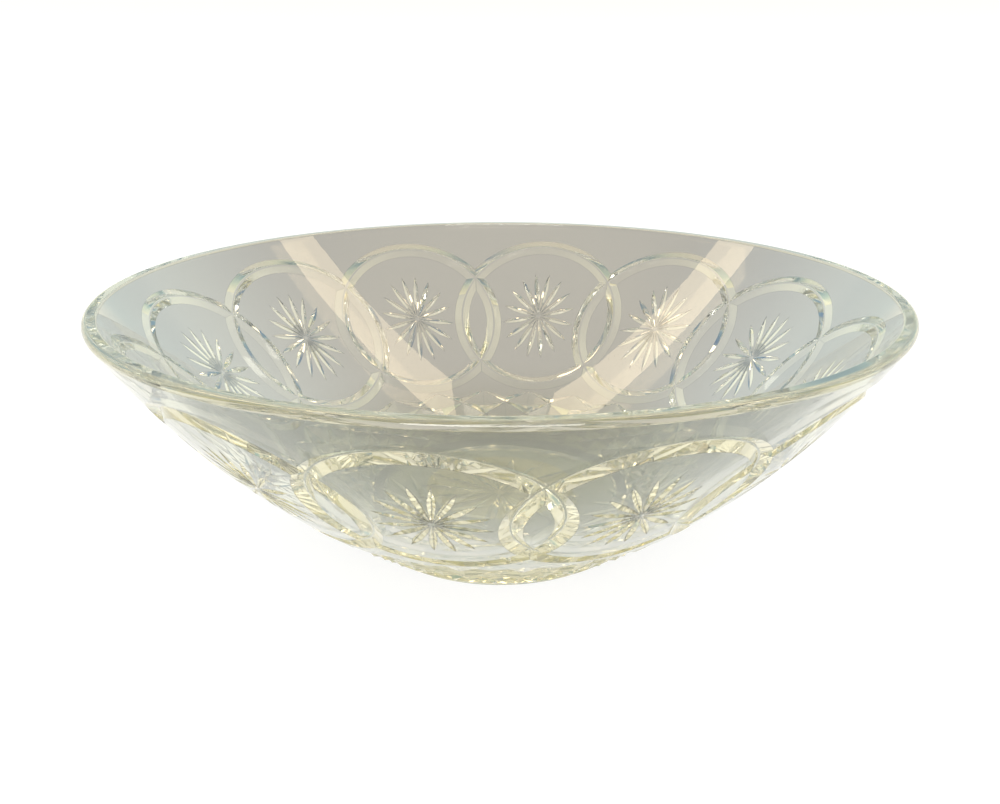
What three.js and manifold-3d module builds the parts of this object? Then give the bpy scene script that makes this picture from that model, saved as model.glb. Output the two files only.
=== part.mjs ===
// A cut crystal serving bowl: one piece of clear glass with a wheel-cut pattern on its outside.
// Millimetres, +Z up. The origin is the centre of the base, on the table. A star faces +Y.
import * as THREE from 'three';
import { mergeVertices } from 'three/addons/utils/BufferGeometryUtils.js';
import Module from 'manifold-3d';

// Form of the glass
const rimRadius = 140;
const bowlHeight = 94;
const baseRadius = 48.4;
const wallArcRadius = 284;
const rimWidth = 4.8;
const rimOuterRound = 1.8;
const rimInnerRound = 0.8;
const wallAtMiddle = 6.4;
const wallAtBase = 8;
const floorThickness = 9;
const floorFillet = 60;
const baseBevel = 0.8;

// Interlaced rings, each a V groove
const ringCount = 12;
const plainBand = 8.2;
const ringGrooveWidth = 6.6;
const ringGrooveDepth = 2.1;

// Stars inside the rings, each ray a slender V cut that is deepest along its middle
const starRays = 16;
const starHub = 0.7;
const starMarginAbove = 10.2;
const starMarginBeside = 1.2;
const rayWidth = 2.4;
const rayDepth = 1;
const rayWidestAt = 0.58;

// Pointed diamonds between crossing mitre grooves, from the rings down to the base
const diamondCount = 24;
const diamondHalfRows = 7;
const diamondBand = 37.7;
const diamondToBase = 4;
const diamondToRing = 0.9;
const diamondDepth = 2;
const diamondPointDepth = 0.05;
const diamondPointDrop = 0.1;
const mitreEdgeWidth = 3.2;

// Star cut under the base
const baseStarRays = 16;
const baseStarHub = 1.2;
const baseStarMargin = 13.5;
const baseRayWidth = 4;
const baseRayDepth = 1.3;

// How finely curves are divided
const turnSteps = 60;
const wallSteps = 5;
const filletSteps = 3;
const edgeSteps = 2;
const ringSteps = 24;

// How far a cutter stands out of the glass, and how closely its points are fitted and joined
const cutterLift = 0.5;
const collarLift = 8;
const wrapPasses = 8;
const weldDistance = 1e-5;

const glass = new THREE.MeshStandardMaterial({ color: 0xdfe3dc, roughness: 0.05, metalness: 0, flatShading: true });

// Centre of the circle through p and q, with radius at p and at q given, on the left of p to q
function meetingCentre(p, radiusAtP, q, radiusAtQ) {
  const across = q.clone().sub(p);
  const span = across.length();
  const along = (span ** 2 + radiusAtP ** 2 - radiusAtQ ** 2) / (2 * span);
  const aside = Math.sqrt(radiusAtP ** 2 - along ** 2);
  across.normalize();
  const left = new THREE.Vector2(-across.y, across.x);
  return p.clone().addScaledVector(across, along).addScaledVector(left, aside);
}

// Centre of the circle through three points
function centreOfThree(a, b, c) {
  const ab = b.clone().sub(a);
  const ac = c.clone().sub(a);
  const scale = 1 / (2 * ab.cross(ac));
  const x = (ac.y * ab.lengthSq() - ab.y * ac.lengthSq()) * scale;
  const y = (ab.x * ac.lengthSq() - ac.x * ab.lengthSq()) * scale;
  return a.clone().add(new THREE.Vector2(x, y));
}

const directionFrom = (centre, point) => Math.atan2(point.y - centre.y, point.x - centre.x);

const pointAround = (centre, radius, angle) => (
  new THREE.Vector2(centre.x + radius * Math.cos(angle), centre.y + radius * Math.sin(angle))
);

function arcPoints(centre, radius, from, to, steps) {
  return Array.from({ length: steps + 1 }, (_, step) => (
    pointAround(centre, radius, THREE.MathUtils.lerp(from, to, step / steps))
  ));
}

// The outer wall in section: an arc from the base that runs into the rounded edge of the rim
const wallFoot = new THREE.Vector2(baseRadius, baseBevel);
const rimRoundCentre = new THREE.Vector2(rimRadius - rimOuterRound, bowlHeight - rimOuterRound);
const wallCentre = meetingCentre(wallFoot, wallArcRadius, rimRoundCentre, wallArcRadius - rimOuterRound);
const footDirection = directionFrom(wallCentre, wallFoot);
const rimDirection = directionFrom(wallCentre, rimRoundCentre);
const wallLength = wallArcRadius * (rimDirection - footDirection);

// A point of the wall's section, by its distance up the wall and its depth below the surface
function wallPoint(distance, depth = 0) {
  return pointAround(wallCentre, wallArcRadius - depth, footDirection + distance / wallArcRadius);
}

// The whole section, from the base's centre round the rim to the floor's centre
function bowlProfile() {
  const innerRim = new THREE.Vector2(rimRadius - rimWidth, bowlHeight - rimInnerRound);
  const innerFoot = wallPoint(0, wallAtBase);
  const innerCentre = centreOfThree(innerRim, wallPoint(wallLength / 2, wallAtMiddle), innerFoot);
  const innerRadius = innerCentre.distanceTo(innerRim);
  const filletHeight = floorThickness + floorFillet;
  const filletReach = Math.sqrt((innerRadius - floorFillet) ** 2 - (innerCentre.y - filletHeight) ** 2);
  const filletCentre = new THREE.Vector2(innerCentre.x + filletReach, filletHeight);
  const filletDirection = directionFrom(innerCentre, filletCentre);
  const innerRimDirection = directionFrom(innerCentre, innerRim);
  const innerRoundCentre = new THREE.Vector2(innerRim.x + rimInnerRound, innerRim.y);
  return [
    new THREE.Vector2(0, 0),
    new THREE.Vector2(baseRadius - baseBevel, 0),
    ...arcPoints(wallCentre, wallArcRadius, footDirection, rimDirection, wallSteps),
    ...arcPoints(rimRoundCentre, rimOuterRound, rimDirection, 0, 1).slice(1),
    ...arcPoints(rimRoundCentre, rimOuterRound, 0, Math.PI / 2, edgeSteps).slice(1),
    ...arcPoints(innerRoundCentre, rimInnerRound, Math.PI / 2, Math.PI, edgeSteps - 1),
    ...arcPoints(innerCentre, innerRadius, innerRimDirection, filletDirection, wallSteps).slice(1),
    ...arcPoints(filletCentre, floorFillet, filletDirection, -Math.PI / 2, filletSteps).slice(1),
    new THREE.Vector2(0, floorThickness),
  ];
}

// Local coordinates on the outer wall: u round the bowl, v up the wall, lift out of the glass
function wallPatch(azimuth, distance) {
  const section = wallPoint(distance);
  const slope = footDirection + distance / wallArcRadius;
  const around = new THREE.Vector3(-Math.sin(azimuth), Math.cos(azimuth), 0);
  const outward = new THREE.Vector3(Math.cos(azimuth), Math.sin(azimuth), 0);
  const up = new THREE.Vector3(0, 0, 1);
  const normal = outward.clone().multiplyScalar(Math.cos(slope)).addScaledVector(up, Math.sin(slope));
  const climb = new THREE.Vector3().crossVectors(normal, around);
  const centre = outward.clone().multiplyScalar(section.x).addScaledVector(up, section.y);
  return (u, v, lift) => {
    const point = centre.clone().addScaledVector(around, u).addScaledVector(climb, v);
    const bend = new THREE.Vector3();
    for (let pass = 0; pass < wrapPasses; pass += 1) {
      const reach = Math.hypot(point.x, point.y);
      bend.set(point.x / reach, point.y / reach, 0).multiplyScalar(reach - wallCentre.x);
      bend.z = point.z - wallCentre.y;
      point.addScaledVector(normal, wallArcRadius - bend.length());
    }
    return point.addScaledVector(bend.normalize(), lift);
  };
}

// Local coordinates under the flat base
const basePatch = (u, v, lift) => new THREE.Vector3(u, -v, -lift);

const wasm = await Module();
wasm.setup();

function solidFrom(geometry) {
  const bare = geometry.clone();
  bare.deleteAttribute('normal');
  bare.deleteAttribute('uv');
  const merged = mergeVertices(bare, weldDistance);
  const mesh = new wasm.Mesh({
    numProp: 3,
    vertProperties: new Float32Array(merged.attributes.position.array),
    triVerts: new Uint32Array(merged.index.array),
  });
  mesh.merge();
  return new wasm.Manifold(mesh);
}

function geometryFrom(points, triangles) {
  const geometry = new THREE.BufferGeometry();
  geometry.setAttribute('position', new THREE.Float32BufferAttribute(points.flatMap((p) => p.toArray()), 3));
  geometry.setIndex(triangles.flat());
  return geometry;
}

// A closed ring of V section, wrapped onto the wall round a patch's centre
function ringCutter(patch, radius) {
  const rise = (ringGrooveDepth + cutterLift) / ringGrooveDepth;
  const halfWidth = (ringGrooveWidth / 2) * rise;
  const section = [
    new THREE.Vector2(radius, -ringGrooveDepth),
    new THREE.Vector2(radius + halfWidth, cutterLift),
    new THREE.Vector2(radius - halfWidth, cutterLift),
    new THREE.Vector2(radius, -ringGrooveDepth),
  ];
  const geometry = new THREE.LatheGeometry(section, ringSteps);
  const position = geometry.attributes.position;
  for (let i = 0; i < position.count; i += 1) {
    const point = patch(position.getX(i), -position.getZ(i), position.getY(i));
    position.setXYZ(i, point.x, point.y, point.z);
  }
  return solidFrom(geometry);
}

// One ray of a star: a kite-shaped V cut from the hub to its tip
function rayCutter(patch, angle, hub, reach, width, depth) {
  const rise = (depth + cutterLift) / depth;
  const widest = THREE.MathUtils.lerp(hub, reach, rayWidestAt);
  const place = (along, aside, lift) => patch(
    along * Math.cos(angle) - aside * Math.sin(angle),
    along * Math.sin(angle) + aside * Math.cos(angle),
    lift,
  );
  const points = [
    place(widest, 0, -depth),
    place(widest + (hub - widest) * rise, 0, cutterLift),
    place(widest, (-width / 2) * rise, cutterLift),
    place(widest + (reach - widest) * rise, 0, cutterLift),
    place(widest, (width / 2) * rise, cutterLift),
  ];
  const sides = [1, 2, 3, 4].map((corner) => [0, (corner % 4) + 1, corner]);
  return solidFrom(geometryFrom(points, [...sides, [1, 2, 4], [2, 3, 4]]));
}

function starCutters(patch, halfWidth, halfHeight) {
  return Array.from({ length: starRays }, (_, ray) => {
    const turn = ((ray + 0.5) / starRays) * 2 * Math.PI;
    const tip = new THREE.Vector2(halfWidth * Math.cos(turn), halfHeight * Math.sin(turn));
    return rayCutter(patch, tip.angle(), starHub, tip.length(), rayWidth, rayDepth);
  });
}

function baseStarCutters() {
  const reach = baseRadius - baseBevel - baseStarMargin;
  return Array.from({ length: baseStarRays }, (_, ray) => {
    const angle = (ray / baseStarRays) * 2 * Math.PI;
    return rayCutter(basePatch, angle, baseStarHub, reach, baseRayWidth, baseRayDepth);
  });
}

// A collar round the wall whose inner face is the row upon row of pointed diamonds
function diamondCutter(bandBottom, bandTop) {
  const half = Math.PI / diamondCount;
  const bottomRadius = wallPoint(bandBottom).x;
  const topRadius = wallPoint(bandTop).x;
  const levelAt = (row) => {
    const radius = topRadius * (bottomRadius / topRadius) ** (row / diamondHalfRows);
    return (-Math.acos((radius - wallCentre.x) / wallArcRadius) - footDirection) * wallArcRadius;
  };
  const points = [];
  const triangles = [];
  const addPoint = (azimuth, distance, lift) => {
    const section = wallPoint(distance, -lift);
    points.push(new THREE.Vector3(section.x * Math.cos(azimuth), section.x * Math.sin(azimuth), section.y));
    return points.length - 1;
  };
  // A row of points, one for each diamond, turned by half a diamond on every other row
  const addRow = (row, distance, lift) => {
    const turns = Array.from({ length: diamondCount }, (_, i) => (2 * i + (row % 2)) * half);
    const indices = turns.map((azimuth) => addPoint(azimuth, distance, lift));
    return (place) => indices[THREE.MathUtils.euclideanModulo((place - (row % 2)) / 2, diamondCount)];
  };
  const isEdge = (row) => row === 0 || row === diamondHalfRows;
  const corners = Array.from({ length: diamondHalfRows + 1 }, (_, row) => (
    addRow(row, levelAt(row), isEdge(row) ? diamondPointDepth : -diamondDepth)
  ));
  // Each diamond's point stands at the surface, a little below the middle of its four corners
  for (let row = 0; row < diamondHalfRows - 1; row += 1) {
    const drop = (levelAt(row) - levelAt(row + 2)) * diamondPointDrop;
    const tips = addRow(row, levelAt(row + 1) - drop, -diamondPointDepth);
    const [above, beside, below] = corners.slice(row, row + 3);
    for (let place = row % 2; place < 2 * diamondCount; place += 2) {
      const loop = [above(place), beside(place - 1), below(place), beside(place + 1)];
      loop.forEach((corner, side) => triangles.push([tips(place), loop[(side + 1) % 4], corner]));
    }
  }
  // Above the top corners and below the bottom ones the outer mitre faces run out of the glass
  const skinRow = (row, crestDistance) => {
    const crests = addRow(row + 1, crestDistance, diamondDepth);
    const outerPeaks = addRow(row, levelAt(row), collarLift);
    const outerCrests = addRow(row + 1, crestDistance, collarLift);
    return { crests, outerPeaks, outerCrests };
  };
  const top = skinRow(0, levelAt(1) + 2 * mitreEdgeWidth);
  const bottom = skinRow(diamondHalfRows, levelAt(diamondHalfRows - 1) - 2 * mitreEdgeWidth);
  const face = (a, b, c, flip) => triangles.push(flip ? [a, c, b] : [a, b, c]);
  const edge = (row, inner, skin, flip) => {
    for (let place = row % 2; place < 2 * diamondCount; place += 2) {
      for (const side of [-1, 1]) {
        const turned = flip !== (side < 0);
        face(corners[row](place), corners[inner](place + side), skin.crests(place + side), turned);
        face(corners[row](place), skin.crests(place + side), skin.outerPeaks(place), turned);
        face(skin.outerPeaks(place), skin.crests(place + side), skin.outerCrests(place + side), turned);
      }
    }
  };
  edge(0, 1, top, true);
  edge(diamondHalfRows, diamondHalfRows - 1, bottom, false);
  // The outer skin joins the two zigzags
  const outerTop = (place) => (place % 2 === 0 ? top.outerPeaks(place) : top.outerCrests(place));
  const lastTurn = diamondHalfRows % 2;
  const outerBottom = (place) => (
    Math.abs(place) % 2 === lastTurn ? bottom.outerPeaks(place) : bottom.outerCrests(place)
  );
  for (let place = 0; place < 2 * diamondCount; place += 1) {
    face(outerTop(place), outerBottom(place), outerBottom(place + 1), false);
    face(outerTop(place), outerBottom(place + 1), outerTop(place + 1), false);
  }
  return solidFrom(geometryFrom(points, triangles));
}

function makeBowl() {
  const lathe = new THREE.LatheGeometry(bowlProfile(), turnSteps);
  lathe.rotateX(Math.PI / 2);
  const bandTop = wallLength - plainBand;
  const diamondTop = diamondToBase + diamondBand;
  const ringSpan = bandTop - diamondTop - diamondToRing;
  const ringRadius = (ringSpan - ringGrooveWidth) / 2;
  const ringCentre = bandTop - ringSpan / 2;
  const spacing = wallPoint(ringCentre).x * 2 * Math.sin(Math.PI / ringCount);
  const starHalfWidth = spacing - ringRadius - ringGrooveWidth / 2 - starMarginBeside;
  const starHalfHeight = ringRadius - ringGrooveWidth / 2 - starMarginAbove;
  const cutters = [diamondCutter(diamondToBase, diamondTop), ...baseStarCutters()];
  for (let place = 0; place < ringCount; place += 1) {
    const patch = wallPatch(Math.PI / 2 + (place / ringCount) * 2 * Math.PI, ringCentre);
    cutters.push(ringCutter(patch, ringRadius), ...starCutters(patch, starHalfWidth, starHalfHeight));
  }
  const cut = cutters.reduce((solid, cutter) => solid.subtract(cutter), solidFrom(lathe)).getMesh();
  const geometry = new THREE.BufferGeometry();
  geometry.setAttribute('position', new THREE.Float32BufferAttribute(cut.vertProperties, 3));
  geometry.setIndex(Array.from(cut.triVerts));
  geometry.computeVertexNormals();
  const bowl = new THREE.Mesh(geometry, glass);
  bowl.name = 'bowl';
  return bowl;
}

const servingBowl = new THREE.Group();
servingBowl.add(makeBowl());

export default servingBowl;
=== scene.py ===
import math

import bmesh
import bpy
import numpy as np
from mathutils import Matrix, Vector


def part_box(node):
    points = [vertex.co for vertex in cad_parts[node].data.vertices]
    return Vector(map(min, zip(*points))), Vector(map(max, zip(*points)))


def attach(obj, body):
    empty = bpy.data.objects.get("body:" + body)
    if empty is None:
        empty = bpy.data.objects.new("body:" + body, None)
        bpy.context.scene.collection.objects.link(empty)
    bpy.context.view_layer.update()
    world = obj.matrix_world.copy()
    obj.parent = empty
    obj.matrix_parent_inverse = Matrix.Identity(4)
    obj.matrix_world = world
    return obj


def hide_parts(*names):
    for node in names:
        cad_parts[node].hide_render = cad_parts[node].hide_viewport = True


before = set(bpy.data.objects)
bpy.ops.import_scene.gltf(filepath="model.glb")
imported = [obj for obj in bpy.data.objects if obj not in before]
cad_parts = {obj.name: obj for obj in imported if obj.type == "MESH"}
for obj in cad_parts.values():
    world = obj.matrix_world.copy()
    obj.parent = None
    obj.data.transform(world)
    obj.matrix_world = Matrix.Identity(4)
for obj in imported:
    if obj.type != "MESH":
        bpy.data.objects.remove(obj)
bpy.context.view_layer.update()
MM = 0.001

# Form of the glass, in millimetres; its outer sizes come from the frame
node_low, node_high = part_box("bowl")
RIM_RADIUS = node_high.x / MM
BOWL_HEIGHT = node_high.z / MM
BASE_RADIUS = 48.4
WALL_ARC_RADIUS = 284
RIM_WIDTH = 4.8
RIM_OUTER_ROUND = 1.8
RIM_INNER_ROUND = 0.8
WALL_AT_MIDDLE = 6.4
WALL_AT_BASE = 8
FLOOR_THICKNESS = 9
FLOOR_FILLET = 60
BASE_BEVEL = 0.8

# Interlaced rings, each a V groove
RING_COUNT = 12
PLAIN_BAND = 8.2
RING_GROOVE_WIDTH = 6.6
RING_GROOVE_DEPTH = 2.1
RING_BOTTOM_ROUND = 1.1

# Stars inside the rings
STAR_RAYS = 16
STAR_HUB = 0.7
STAR_MARGIN_ABOVE = 10.2
STAR_MARGIN_BESIDE = 1.2
RAY_WIDTH = 2.4
RAY_DEPTH = 1
RAY_WIDEST_AT = 0.58

# Pointed diamonds
DIAMOND_COUNT = 24
DIAMOND_HALF_ROWS = 7
DIAMOND_BAND = 37.7
DIAMOND_TO_BASE = 4
DIAMOND_TO_RING = 0.9
DIAMOND_DEPTH = 2
DIAMOND_POINT_DEPTH = 0.05
DIAMOND_POINT_DROP = 0.1
MITRE_EDGE_WIDTH = 3.2

# Star under the base
BASE_STAR_RAYS = 16
BASE_STAR_HUB = 1.2
BASE_STAR_MARGIN = 13.5
BASE_RAY_WIDTH = 4
BASE_RAY_DEPTH = 1.3

# How finely curves are divided
TURN_STEPS = 288
WALL_STEPS = 60
FILLET_STEPS = 20
ROUND_STEPS = 18
RING_STEPS = 180
RAY_STATIONS = 11
CUTTER_LIFT = 0.4
COLLAR_LIFT = 8
WRAP_PASSES = 8
RING_BOTTOM_STEPS = 6
SHARP_ANGLE = math.radians(12)
ON_SURFACE = 0.04
ALONG_SURFACE = math.cos(math.radians(4))

# Marks on the mesh, which place the painted glints and painted shade: how far a facet leans when it counts
# as cut, in degrees, and where a star ends
CUT_LEAN = (5, 27)
# The rim's faces take this share of the cut facets' painted glint
RIM_PAINTED_GLINT = 0.45
STAR_EDGE = 1.05
HUB_MARK = 0.05

# The glass's tints, each after the slant from which it holds; 0 is seen squarely, 1 edge on. The walls'
# tint deepens into painted shade where seen squarely and pales into bluish painted light edge on
WALL_TINT_AND_SHADE = ((0.2, (0.4, 0.385, 0.345, 1)), (0.5, (0.71, 0.77, 0.745, 1)))
# Cut facets: a painted cream glint at a slant, a darker tint seen squarely
CUT_GLINTS = ((0.03, (0.48, 0.46, 0.39, 1)), (0.32, (1, 0.95, 0.64, 1)))

# Painted shade and painted glints along a star's rays: each tint after its place from the hub out, dark at
# the hub and cream toward the tips, and a cream glint on rays seen at a slant; the first keeps all else as
# it is
RAY_SHADE_AND_GLINT = (
    (0.01, (0.22, 0.23, 0.22, 0)),
    (0.04, (0.06, 0.07, 0.07, 1)),
    (0.22, (0.14, 0.15, 0.14, 1)),
    (0.42, (1, 0.95, 0.68, 1)),
)
RAY_SLANTS = (0.25, 0.55)
SLANTING_RAY_GLINT = (1, 0.95, 0.62, 1)

# Painted shade: a dark line where the surface turns sharply, and a darker tint toward the foot, by height
# in metres
EDGE_RADIUS = 0.0005
EDGE_TURN = (0.995, 0.96)
EDGE_SHADE = (0.16, 0.16, 0.15, 1)
FOOT_HEIGHTS = (0.036, 0.006)
FOOT_SHADE = (0.8, 0.785, 0.66, 1)

# Faint waves in the surface: how close they lie and how deep they are, in metres
WAVES = ((28, 0.00012), (160, 0.000012))
ROUGHNESS = (0.005, 0.03)

# Air under the base, so that the glass and the floor don't share a plane
FLOOR_GAP = 0.0002
FLOOR_GLOW = 0.84

# The studio's colours by height, from the horizon up: along the view, and beside the bowl
SKY_HEIGHTS = (0, 0.12, 0.3, 0.55, 0.85)
SKY_ALONG = ((1, 0.95, 0.75), (0.42, 0.55, 0.55), (0.3, 0.4, 0.44), (0.85, 0.87, 0.72), (0.95, 0.9, 0.78))
SKY_BESIDE = ((0.8, 0.78, 0.72), (0.9, 0.9, 0.76), (0.3, 0.46, 0.56), (0.22, 0.33, 0.5), (0.95, 0.9, 0.78))
SKY_STRENGTH = 1.4


def direction(centre, point):
    return math.atan2(point[1] - centre[1], point[0] - centre[0])


def around(centre, radius, angle):
    return centre + radius * np.array([math.cos(angle), math.sin(angle)])


def arc(centre, radius, start, end, steps):
    return [around(centre, radius, angle) for angle in np.linspace(start, end, steps + 1)]


def meeting_centre(p, radius_at_p, q, radius_at_q):
    """Centre with those distances to p and q, on the left of p to q."""
    span = np.linalg.norm(q - p)
    along = (span**2 + radius_at_p**2 - radius_at_q**2) / (2 * span)
    aside = math.sqrt(radius_at_p**2 - along**2)
    across = (q - p) / span
    return p + across * along + np.array([-across[1], across[0]]) * aside


def centre_of_three(a, b, c):
    """Centre of the circle through three points."""
    sides = np.array([b - a, c - a])
    return a + np.linalg.solve(sides, (sides**2).sum(axis=1) / 2)


WALL_FOOT = np.array([BASE_RADIUS, BASE_BEVEL])
RIM_ROUND_CENTRE = np.array([RIM_RADIUS - RIM_OUTER_ROUND, BOWL_HEIGHT - RIM_OUTER_ROUND])
WALL_CENTRE = meeting_centre(
    WALL_FOOT, WALL_ARC_RADIUS, RIM_ROUND_CENTRE, WALL_ARC_RADIUS - RIM_OUTER_ROUND
)
FOOT_DIRECTION = direction(WALL_CENTRE, WALL_FOOT)
RIM_DIRECTION = direction(WALL_CENTRE, RIM_ROUND_CENTRE)
WALL_LENGTH = WALL_ARC_RADIUS * (RIM_DIRECTION - FOOT_DIRECTION)


def wall_point(distance, depth=0):
    """A point of the outer wall's section, by its distance up the wall and its depth in the glass."""
    return around(WALL_CENTRE, WALL_ARC_RADIUS - depth, FOOT_DIRECTION + distance / WALL_ARC_RADIUS)


INNER_RIM = np.array([RIM_RADIUS - RIM_WIDTH, BOWL_HEIGHT - RIM_INNER_ROUND])
INNER_CENTRE = centre_of_three(
    INNER_RIM, wall_point(WALL_LENGTH / 2, WALL_AT_MIDDLE), wall_point(0, WALL_AT_BASE)
)
INNER_RADIUS = np.linalg.norm(INNER_RIM - INNER_CENTRE)
FILLET_HEIGHT = FLOOR_THICKNESS + FLOOR_FILLET
FILLET_REACH = math.sqrt((INNER_RADIUS - FLOOR_FILLET) ** 2 - (INNER_CENTRE[1] - FILLET_HEIGHT) ** 2)
FILLET_CENTRE = np.array([INNER_CENTRE[0] + FILLET_REACH, FILLET_HEIGHT])


def bowl_profile():
    """The whole section, from the base's centre round the rim to the floor's centre."""
    fillet_direction = direction(INNER_CENTRE, FILLET_CENTRE)
    inner_rim_direction = direction(INNER_CENTRE, INNER_RIM)
    inner_round_centre = INNER_RIM + np.array([RIM_INNER_ROUND, 0])
    return [
        np.array([0, 0]),
        np.array([BASE_RADIUS - BASE_BEVEL, 0]),
        *arc(WALL_CENTRE, WALL_ARC_RADIUS, FOOT_DIRECTION, RIM_DIRECTION, WALL_STEPS),
        *arc(RIM_ROUND_CENTRE, RIM_OUTER_ROUND, RIM_DIRECTION, 0, ROUND_STEPS // 2)[1:],
        *arc(RIM_ROUND_CENTRE, RIM_OUTER_ROUND, 0, math.pi / 2, ROUND_STEPS)[1:],
        *arc(inner_round_centre, RIM_INNER_ROUND, math.pi / 2, math.pi, ROUND_STEPS),
        *arc(INNER_CENTRE, INNER_RADIUS, inner_rim_direction, fillet_direction, WALL_STEPS)[1:],
        *arc(FILLET_CENTRE, FLOOR_FILLET, fillet_direction, -math.pi / 2, FILLET_STEPS)[1:],
        np.array([0, FLOOR_THICKNESS]),
    ]


def mesh_object(name, points, faces):
    """A closed mesh from points in millimetres, with its faces turned out."""
    mesh = bpy.data.meshes.new(name)
    mesh.from_pydata([tuple(MM * value for value in point) for point in points], [], faces)
    turned = bmesh.new()
    turned.from_mesh(mesh)
    bmesh.ops.recalc_face_normals(turned, faces=turned.faces)
    turned.to_mesh(mesh)
    turned.free()
    piece = bpy.data.objects.new(name, mesh)
    bpy.context.scene.collection.objects.link(piece)
    return piece


def revolved_body():
    profile = bowl_profile()
    rows = profile[1:-1]
    turns = [2 * math.pi * step / TURN_STEPS for step in range(TURN_STEPS)]
    points = [(row[0] * math.cos(turn), row[0] * math.sin(turn), row[1]) for row in rows for turn in turns]
    under, floor = len(points), len(points) + 1
    points += [(0, 0, profile[0][1]), (0, 0, profile[-1][1])]
    last = (len(rows) - 1) * TURN_STEPS
    faces = []
    for step in range(TURN_STEPS):
        after = (step + 1) % TURN_STEPS
        faces.append((under, after, step))
        faces.append((floor, last + step, last + after))
        for row in range(len(rows) - 1):
            low, high = row * TURN_STEPS, (row + 1) * TURN_STEPS
            faces.append((low + step, low + after, high + after, high + step))
    return mesh_object("crystal_bowl", points, faces)


def wall_patch(azimuth, distance):
    """Local coordinates on the outer wall: u round the bowl, v up the wall, lift out of the glass."""
    section = wall_point(distance)
    slope = FOOT_DIRECTION + distance / WALL_ARC_RADIUS
    aside = np.array([-math.sin(azimuth), math.cos(azimuth), 0])
    outward = np.array([math.cos(azimuth), math.sin(azimuth), 0])
    up = np.array([0, 0, 1])
    normal = outward * math.cos(slope) + up * math.sin(slope)
    climb = np.cross(normal, aside)
    centre = outward * section[0] + up * section[1]

    def place(u, v, lift):
        point = centre + u * aside + v * climb
        for _ in range(WRAP_PASSES):
            reach = math.hypot(point[0], point[1])
            share = (reach - WALL_CENTRE[0]) / reach
            bend = np.array([point[0] * share, point[1] * share, point[2] - WALL_CENTRE[1]])
            length = np.linalg.norm(bend)
            point = point + normal * (WALL_ARC_RADIUS - length)
        return point + bend / length * lift

    return place


def base_patch(u, v, lift):
    """Local coordinates under the flat base."""
    return np.array([u, -v, -lift])


def add_ring(points, faces, patch, radius):
    """A closed ring of V section with a rounded bottom, wrapped onto the wall round the patch's centre."""
    slope = math.atan2(RING_GROOVE_DEPTH, RING_GROOVE_WIDTH / 2)
    half_width = RING_GROOVE_WIDTH / 2 + CUTTER_LIFT / math.tan(slope)
    bottom_centre = np.array([radius, RING_BOTTOM_ROUND / math.cos(slope) - RING_GROOVE_DEPTH])
    down = -math.pi / 2
    bottom = arc(bottom_centre, RING_BOTTOM_ROUND, down - slope, down + slope, RING_BOTTOM_STEPS)
    section = [*bottom, (radius + half_width, CUTTER_LIFT), (radius - half_width, CUTTER_LIFT)]
    first = len(points)
    corners = len(section)
    for step in range(RING_STEPS):
        turn = 2 * math.pi * step / RING_STEPS
        across, along = math.cos(turn), math.sin(turn)
        points.extend(patch(reach * across, reach * along, lift) for reach, lift in section)
        here, there = first + step * corners, first + (step + 1) % RING_STEPS * corners
        for corner in range(corners):
            after = (corner + 1) % corners
            faces.append((here + corner, here + after, there + after, there + corner))


def add_ray(points, faces, patch, angle, hub, reach, width, depth):
    """One ray of a star: a V cut whose bottom is an arc, so that it tapers to a point at both ends."""
    widest = hub + (reach - hub) * RAY_WIDEST_AT
    overrun = math.sqrt(1 + CUTTER_LIFT / depth)
    flare = width / 2 / depth
    first = len(points)

    def place(along, aside, lift):
        return patch(
            along * math.cos(angle) - aside * math.sin(angle),
            along * math.sin(angle) + aside * math.cos(angle),
            lift,
        )

    for share in np.linspace(-overrun, overrun, RAY_STATIONS):
        along = widest + share * (reach - widest if share > 0 else widest - hub)
        deep = depth * (1 - share**2)
        if abs(share) == overrun:
            points.append(place(along, 0, CUTTER_LIFT))
            continue
        half_width = (deep + CUTTER_LIFT) * flare
        points.append(place(along, 0, -deep))
        points.append(place(along, -half_width, CUTTER_LIFT))
        points.append(place(along, half_width, CUTTER_LIFT))
    corners = 3
    last = len(points) - 1
    for corner in range(corners):
        after = (corner + 1) % corners
        faces.append((first, first + 1 + corner, first + 1 + after))
        faces.append((last, last - corners + after, last - corners + corner))
        for station in range(RAY_STATIONS - 3):
            here = first + 1 + station * corners
            there = here + corners
            faces.append((here + corner, there + corner, there + after, here + after))


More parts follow.
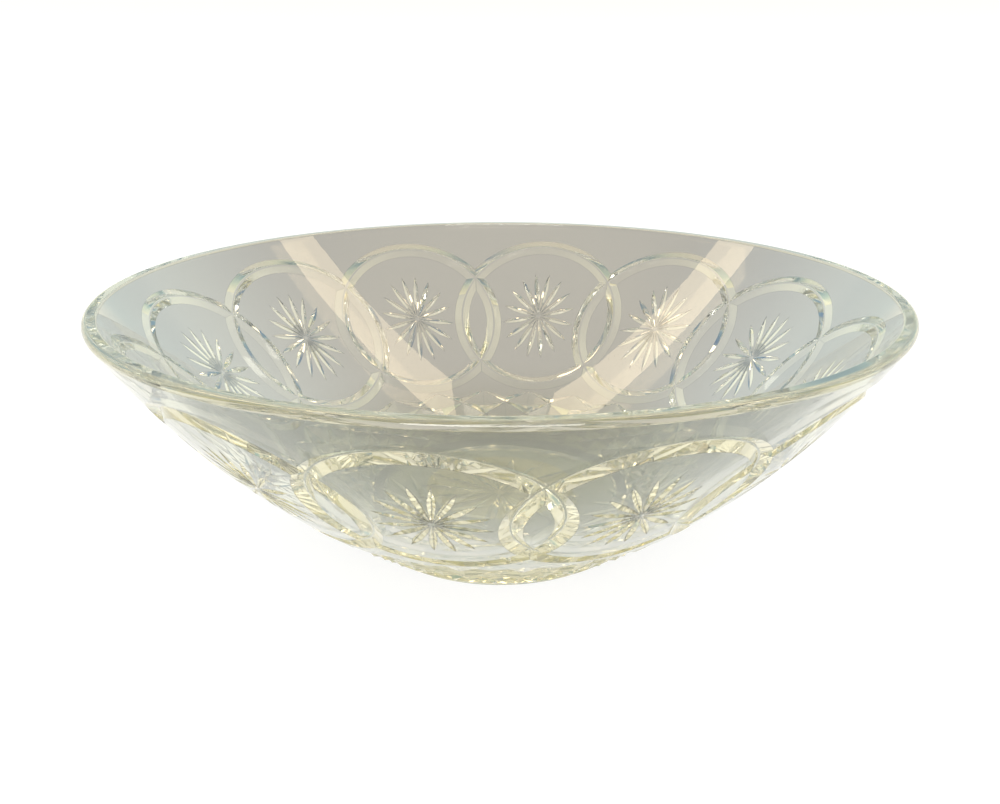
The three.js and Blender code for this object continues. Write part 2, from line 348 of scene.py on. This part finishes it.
def add_diamonds(points, faces, band_bottom, band_top):
    """A collar round the wall whose inner face is the row upon row of pointed diamonds."""
    half_turn = math.pi / DIAMOND_COUNT
    bottom_radius = wall_point(band_bottom)[0]
    top_radius = wall_point(band_top)[0]

    def level_at(row):
        radius = top_radius * (bottom_radius / top_radius) ** (row / DIAMOND_HALF_ROWS)
        return (-math.acos((radius - WALL_CENTRE[0]) / WALL_ARC_RADIUS) - FOOT_DIRECTION) * WALL_ARC_RADIUS

    def add_row(row, distance, lift):
        """A row of points, turned by half a diamond on every other row; gives the index at a place."""
        first = len(points)
        section = wall_point(distance, -lift)
        for i in range(DIAMOND_COUNT):
            turn = (2 * i + row % 2) * half_turn
            points.append((section[0] * math.cos(turn), section[0] * math.sin(turn), section[1]))
        return lambda place: first + (place - row % 2) // 2 % DIAMOND_COUNT

    def lift_at(row):
        return DIAMOND_POINT_DEPTH if row in (0, DIAMOND_HALF_ROWS) else -DIAMOND_DEPTH

    corners = [add_row(row, level_at(row), lift_at(row)) for row in range(DIAMOND_HALF_ROWS + 1)]
    for row in range(DIAMOND_HALF_ROWS - 1):
        above, beside, below = corners[row : row + 3]
        drop = (level_at(row) - level_at(row + 2)) * DIAMOND_POINT_DROP
        tips = add_row(row, level_at(row + 1) - drop, -DIAMOND_POINT_DEPTH)
        for place in range(row % 2, 2 * DIAMOND_COUNT, 2):
            loop = [above(place), beside(place - 1), below(place), beside(place + 1)]
            faces.extend((tips(place), loop[(side + 1) % 4], loop[side]) for side in range(4))

    def skin(row, crest_distance):
        crests = add_row(row + 1, crest_distance, DIAMOND_DEPTH)
        outer_peaks = add_row(row, level_at(row), COLLAR_LIFT)
        outer_crests = add_row(row + 1, crest_distance, COLLAR_LIFT)
        return crests, outer_peaks, outer_crests

    def edge(row, inner, crests, outer_peaks, outer_crests):
        for place in range(row % 2, 2 * DIAMOND_COUNT, 2):
            for side in (place - 1, place + 1):
                faces.append((corners[row](place), corners[inner](side), crests(side)))
                faces.append((corners[row](place), crests(side), outer_peaks(place)))
                faces.append((outer_peaks(place), crests(side), outer_crests(side)))

    top = skin(0, level_at(1) + 2 * MITRE_EDGE_WIDTH)
    bottom = skin(DIAMOND_HALF_ROWS, level_at(DIAMOND_HALF_ROWS - 1) - 2 * MITRE_EDGE_WIDTH)
    edge(0, 1, *top)
    edge(DIAMOND_HALF_ROWS, DIAMOND_HALF_ROWS - 1, *bottom)

    def outer(place, row, outer_peaks, outer_crests):
        return outer_peaks(place) if (place - row) % 2 == 0 else outer_crests(place)

    for place in range(2 * DIAMOND_COUNT):
        above, above_next = (outer(p, 0, *top[1:]) for p in (place, place + 1))
        below, below_next = (outer(p, DIAMOND_HALF_ROWS, *bottom[1:]) for p in (place, place + 1))
        faces.append((above, below, below_next))
        faces.append((above, below_next, above_next))


def ring_layout():
    """Where the rings and stars sit up the wall, the rings' radius and the stars' half sizes."""
    band_top = WALL_LENGTH - PLAIN_BAND
    ring_span = band_top - DIAMOND_TO_BASE - DIAMOND_BAND - DIAMOND_TO_RING
    ring_radius = (ring_span - RING_GROOVE_WIDTH) / 2
    ring_centre = band_top - ring_span / 2
    spacing = wall_point(ring_centre)[0] * 2 * math.sin(math.pi / RING_COUNT)
    half_width = spacing - ring_radius - RING_GROOVE_WIDTH / 2 - STAR_MARGIN_BESIDE
    half_height = ring_radius - RING_GROOVE_WIDTH / 2 - STAR_MARGIN_ABOVE
    return ring_centre, ring_radius, half_width, half_height


def cutters():
    """The cuts, in sets that don't touch themselves, each set one closed mesh."""
    ring_centre, ring_radius, half_width, half_height = ring_layout()
    base_reach = BASE_RADIUS - BASE_BEVEL - BASE_STAR_MARGIN
    sets = {name: ([], []) for name in ("diamonds", "rings_0", "rings_1")}
    sets |= {f"{star}_{turn}": ([], []) for star in ("rays", "base_rays") for turn in range(4)}
    add_diamonds(*sets["diamonds"], DIAMOND_TO_BASE, DIAMOND_TO_BASE + DIAMOND_BAND)
    for place in range(RING_COUNT):
        patch = wall_patch(math.pi / 2 + place / RING_COUNT * 2 * math.pi, ring_centre)
        add_ring(*sets[f"rings_{place % 2}"], patch, ring_radius)
        for ray in range(STAR_RAYS):
            turn = (ray + 0.5) / STAR_RAYS * 2 * math.pi
            tip = half_width * math.cos(turn), half_height * math.sin(turn)
            angle, reach = math.atan2(tip[1], tip[0]), math.hypot(*tip)
            add_ray(*sets[f"rays_{ray % 4}"], patch, angle, STAR_HUB, reach, RAY_WIDTH, RAY_DEPTH)
    for ray in range(BASE_STAR_RAYS):
        angle = ray / BASE_STAR_RAYS * 2 * math.pi
        rays = sets[f"base_rays_{ray % 4}"]
        add_ray(*rays, base_patch, angle, BASE_STAR_HUB, base_reach, BASE_RAY_WIDTH, BASE_RAY_DEPTH)
    return [mesh_object(name, *shape) for name, shape in sets.items()]


def cut(body, cutter):
    modifier = body.modifiers.new(cutter.name, "BOOLEAN")
    modifier.operation = "DIFFERENCE"
    modifier.solver = "MANIFOLD"
    modifier.object = cutter
    bpy.context.view_layer.objects.active = body
    bpy.ops.object.modifier_apply(modifier=modifier.name)
    bpy.data.objects.remove(cutter)


def values_of(collection, attribute, width=3):
    values = np.empty(len(collection) * width)
    collection.foreach_get(attribute, values)
    return values.reshape(-1, width) if width > 1 else values.astype(int)


def surface(places, centre, outward):
    """Exact normals of the turned surface round that centre, and the distances from it."""
    reach = np.hypot(places[:, 0], places[:, 1])
    spread = (reach - centre[0]) / np.maximum(reach, ON_SURFACE)
    bend = np.column_stack([places[:, 0] * spread, places[:, 1] * spread, places[:, 2] - centre[1]])
    length = np.linalg.norm(bend, axis=1)
    return outward * bend / length[:, None], length


def polish(bowl):
    """Exact normals on the turned walls, even ones in the grooves."""
    mesh = bowl.data
    mesh.shade_smooth()
    mesh.set_sharp_from_angle(angle=SHARP_ANGLE)
    even = bowl.modifiers.new("even_normals", "WEIGHTED_NORMAL")
    even.keep_sharp = True
    bpy.context.view_layer.objects.active = bowl
    bpy.ops.object.modifier_apply(modifier=even.name)
    normals = values_of(mesh.corner_normals, "vector")
    points = values_of(mesh.vertices, "co") / MM
    centres = values_of(mesh.polygons, "center") / MM
    facing = values_of(mesh.polygons, "normal")
    corner_points = points[values_of(mesh.loops, "vertex_index", 1)]
    corner_faces = np.repeat(np.arange(len(centres)), values_of(mesh.polygons, "loop_total", 1))
    turned = np.zeros(len(centres), dtype=bool)
    for centre, radius, outward in (
        (WALL_CENTRE, WALL_ARC_RADIUS, 1),
        (INNER_CENTRE, INNER_RADIUS, -1),
        (FILLET_CENTRE, FLOOR_FILLET, -1),
    ):
        exact, length = surface(centres, centre, outward)
        level = abs(length - radius) < ON_SURFACE
        along = (exact * facing).sum(axis=1) > ALONG_SURFACE
        turned |= level & along
        chosen = (level & along)[corner_faces]
        normals[chosen] = surface(corner_points[chosen], centre, outward)[0]
    mesh.normals_split_custom_set(normals)
    mark_cuts(mesh, centres, facing, turned)


def mark_cuts(mesh, centres, facing, turned):
    """Marks each facet by how far it leans from the wall, and each ray's by their place from the hub; the
    marks place painted glints and painted shade.
    """
    lean = (surface(centres, WALL_CENTRE, 1)[0] * facing).sum(axis=1)
    steepness = np.interp(np.degrees(np.arccos(lean.clip(-1, 1))), CUT_LEAN, (0, 1))
    steepness[centres[:, 2] > BOWL_HEIGHT - RIM_OUTER_ROUND - RIM_INNER_ROUND] = RIM_PAINTED_GLINT
    steepness[turned] = 0
    ring_centre, _, half_width, half_height = ring_layout()
    reach = np.hypot(centres[:, 0], centres[:, 1])
    climb = np.arctan2(centres[:, 2] - WALL_CENTRE[1], reach - WALL_CENTRE[0]) - FOOT_DIRECTION
    ring_step = 2 * math.pi / RING_COUNT
    turn = np.arctan2(centres[:, 1], centres[:, 0]) - math.pi / 2
    aside = (turn - np.round(turn / ring_step) * ring_step) * reach
    from_hub = np.hypot(aside / half_width, (climb * WALL_ARC_RADIUS - ring_centre) / half_height)
    in_star = (from_hub < STAR_EDGE) & (steepness > 0)
    along_ray = np.where(in_star, from_hub.clip(HUB_MARK, 1), 0)
    for name, values in (("cut", steepness), ("ray", along_ray)):
        mark = mesh.attributes.new(name, "FLOAT", "FACE")
        mark.data.foreach_set("value", values.astype(np.float32))


def crystal_material():
    """Lead crystal, tinted by slant: painted shade where seen squarely and paler edge on; painted glints
    on the cuts and rays; painted shade in the hubs, along sharp edges and toward the foot; faint waves.
    """
    material = bpy.data.materials.new("crystal")
    material.use_nodes = True
    nodes, links = material.node_tree.nodes, material.node_tree.links
    shader = nodes["Principled BSDF"]
    shader.inputs["IOR"].default_value = 1.54
    shader.inputs["Transmission Weight"].default_value = 1

    def ramp(factor, tints):
        node = nodes.new("ShaderNodeValToRGB")
        links.new(factor, node.inputs["Fac"])
        stops = node.color_ramp.elements
        stops[1].position = tints[-1][0]
        stops[0].position = tints[0][0]
        for position, _ in tints[1:-1]:
            stops.new(position)
        for stop, (_, colour) in zip(stops, tints, strict=True):
            stop.color = colour
        return node.outputs

    def mix(factor, first, second, blend="MIX"):
        node = nodes.new("ShaderNodeMix")
        node.data_type = "RGBA"
        node.blend_type = blend
        links.new(factor, node.inputs["Factor"])
        for socket, colour in zip("AB", (first, second)):
            if isinstance(colour, tuple):
                node.inputs[socket].default_value = colour
            else:
                links.new(colour, node.inputs[socket])
        return node.outputs["Result"]

    def share_of(value, start, end):
        node = nodes.new("ShaderNodeMapRange")
        node.inputs["From Min"].default_value = start
        node.inputs["From Max"].default_value = end
        links.new(value, node.inputs["Value"])
        return node.outputs["Result"]

    def mark(name):
        node = nodes.new("ShaderNodeAttribute")
        node.attribute_name = name
        return node.outputs["Fac"]

    slant = nodes.new("ShaderNodeLayerWeight").outputs["Facing"]
    # Painted shade on the walls and painted glints on the cut facets, each by slant
    glass = mix(mark("cut"), ramp(slant, WALL_TINT_AND_SHADE)["Color"], ramp(slant, CUT_GLINTS)["Color"])
    # Painted shade at the star hubs and painted glints along the rays
    ray = ramp(mark("ray"), RAY_SHADE_AND_GLINT)
    ray_glint = mix(share_of(slant, *RAY_SLANTS), ray["Color"], SLANTING_RAY_GLINT)
    glass = mix(ray["Alpha"], glass, ray_glint)
    # Painted shade: a dark line along every sharp edge, found with the Bevel node
    rounded = nodes.new("ShaderNodeBevel")
    rounded.samples = 8
    rounded.inputs["Radius"].default_value = EDGE_RADIUS
    turn = nodes.new("ShaderNodeVectorMath")
    turn.operation = "DOT_PRODUCT"
    links.new(rounded.outputs["Normal"], turn.inputs[0])
    links.new(nodes.new("ShaderNodeNewGeometry").outputs["Normal"], turn.inputs[1])
    glass = mix(share_of(turn.outputs["Value"], *EDGE_TURN), glass, EDGE_SHADE)
    place = nodes.new("ShaderNodeTexCoord")
    parts = nodes.new("ShaderNodeSeparateXYZ")
    links.new(place.outputs["Object"], parts.inputs[0])
    # Painted shade toward the foot
    glass = mix(share_of(parts.outputs["Z"], *FOOT_HEIGHTS), glass, FOOT_SHADE, "MULTIPLY")
    links.new(glass, shader.inputs["Base Color"])
    normal = None
    for scale, depth in WAVES:
        wave = nodes.new("ShaderNodeTexNoise")
        wave.inputs["Scale"].default_value = scale
        wave.inputs["Detail"].default_value = 2
        links.new(place.outputs["Object"], wave.inputs["Vector"])
        bump = nodes.new("ShaderNodeBump")
        bump.inputs["Strength"].default_value = 0.5
        bump.inputs["Distance"].default_value = depth
        links.new(wave.outputs["Fac"], bump.inputs["Height"])
        if normal:
            links.new(normal, bump.inputs["Normal"])
        normal = bump.outputs["Normal"]
    links.new(normal, shader.inputs["Normal"])
    polish_spread = nodes.new("ShaderNodeMapRange")
    polish_spread.inputs["To Min"].default_value = ROUGHNESS[0]
    polish_spread.inputs["To Max"].default_value = ROUGHNESS[1]
    links.new(wave.outputs["Fac"], polish_spread.inputs["Value"])
    links.new(polish_spread.outputs["Result"], shader.inputs["Roughness"])
    return material


def make_bowl():
    bowl = revolved_body()
    for cutter in cutters():
        cut(bowl, cutter)
    polish(bowl)
    bowl.data.materials.clear()
    bowl.data.materials.append(crystal_material())
    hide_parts("bowl")
    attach(bowl, "root")
    return bowl


def floor_material():
    """A lit white table: most of its white is its own, so that the bowl's shadow stays soft and pale."""
    material = bpy.data.materials.new("floor")
    material.use_nodes = True
    nodes, links = material.node_tree.nodes, material.node_tree.links
    shader = nodes["Principled BSDF"]
    shader.inputs["Base Color"].default_value = (0.2, 0.2, 0.2, 1)
    shader.inputs["Roughness"].default_value = 0.9
    shader.inputs["Specular IOR Level"].default_value = 0.1
    shader.inputs["Emission Color"].default_value = (1, 1, 1, 1)
    path = nodes.new("ShaderNodeLightPath")
    seen = path.outputs["Is Camera Ray"]
    for kind in ("Is Glossy Ray", "Is Transmission Ray"):
        either = nodes.new("ShaderNodeMath")
        either.operation = "MAXIMUM"
        links.new(seen, either.inputs[0])
        links.new(path.outputs[kind], either.inputs[1])
        seen = either.outputs[0]
    glow = nodes.new("ShaderNodeMath")
    glow.operation = "MULTIPLY"
    links.new(seen, glow.inputs[0])
    glow.inputs[1].default_value = FLOOR_GLOW
    links.new(glow.outputs[0], shader.inputs["Emission Strength"])
    return material


def make_floor():
    half = 6
    corners = ((-half, -half), (half, -half), (half, half), (-half, half))
    mesh = bpy.data.meshes.new("floor")
    mesh.from_pydata([(*corner, -FLOOR_GAP) for corner in corners], [], [(0, 1, 2, 3)])
    floor = bpy.data.objects.new("floor", mesh)
    floor.data.materials.append(floor_material())
    bpy.context.scene.collection.objects.link(floor)


def make_camera():
    """The photograph's view, fitted to the bowl's outline and its stars."""
    distance, height = 0.36, 0.1757
    azimuth, pitch = math.radians(9.51), math.radians(19.25)
    camera = bpy.data.objects.new("camera", bpy.data.cameras.new("camera"))
    camera.data.lens = 36.97
    camera.data.sensor_width = 36
    camera.location = (distance * math.sin(azimuth), -distance * math.cos(azimuth), height)
    camera.rotation_euler = (math.pi / 2 - pitch, 0, azimuth)
    bpy.context.scene.collection.objects.link(camera)
    bpy.context.scene.camera = camera


def area_light(name, place, target, size, power, colour):
    light = bpy.data.lights.new(name, "AREA")
    light.shape = "RECTANGLE"
    light.size, light.size_y = size
    light.energy = power
    light.color = colour
    lamp = bpy.data.objects.new(name, light)
    lamp.location = place
    lamp.rotation_euler = (Vector(target) - Vector(place)).to_track_quat("-Z", "Y").to_euler()
    bpy.context.scene.collection.objects.link(lamp)


def make_world():
    """A studio with a cream horizon and a pale ceiling, dimmer between them and blue beside the bowl."""
    world = bpy.data.worlds.new("studio")
    world.use_nodes = True
    nodes, links = world.node_tree.nodes, world.node_tree.links
    place = nodes.new("ShaderNodeTexCoord")
    parts = nodes.new("ShaderNodeSeparateXYZ")
    links.new(place.outputs["Generated"], parts.inputs[0])

    def math_of(operation, first, second):
        node = nodes.new("ShaderNodeMath")
        node.operation = operation
        links.new(first, node.inputs[0])
        links.new(second, node.inputs[1])
        return node.outputs[0]

    def sky(colours):
        ramp = nodes.new("ShaderNodeValToRGB")
        stops = ramp.color_ramp.elements
        stops[1].position = SKY_HEIGHTS[-1]
        for height in SKY_HEIGHTS[1:-1]:
            stops.new(height)
        for stop, colour in zip(stops, colours, strict=True):
            stop.color = (*colour, 1)
        links.new(parts.outputs["Z"], ramp.inputs["Fac"])
        return ramp.outputs["Color"]

    squares = [math_of("MULTIPLY", parts.outputs[axis], parts.outputs[axis]) for axis in "XY"]
    blend = nodes.new("ShaderNodeMix")
    blend.data_type = "RGBA"
    links.new(math_of("DIVIDE", squares[0], math_of("ADD", *squares)), blend.inputs["Factor"])
    links.new(sky(SKY_ALONG), blend.inputs["A"])
    links.new(sky(SKY_BESIDE), blend.inputs["B"])
    links.new(blend.outputs["Result"], nodes["Background"].inputs["Color"])
    nodes["Background"].inputs["Strength"].default_value = SKY_STRENGTH
    bpy.context.scene.world = world


def make_light():
    make_world()
    area_light("strip_right", (0.77, 0.22, 1.41), (-0.08, 0.08, 0.06), (0.25, 1.0), 3.6, (1, 0.8, 0.52))
    area_light("strip_left", (-0.84, 0.14, 1.39), (0.06, 0.09, 0.06), (0.28, 1.0), 4.2, (1, 0.8, 0.52))
    area_light("key", (0.2, -1.48, 0.75), (0, 0, 0.05), (1.2, 0.6), 20, (1, 0.97, 0.9))


scene = bpy.context.scene
scene.view_settings.view_transform = "Standard"
# Light that is caught inside the glass turns many times before it leaves
scene.cycles.max_bounces = 32
scene.cycles.glossy_bounces = 24
scene.cycles.transmission_bounces = 24
make_camera()
make_bowl()
make_floor()
make_light()
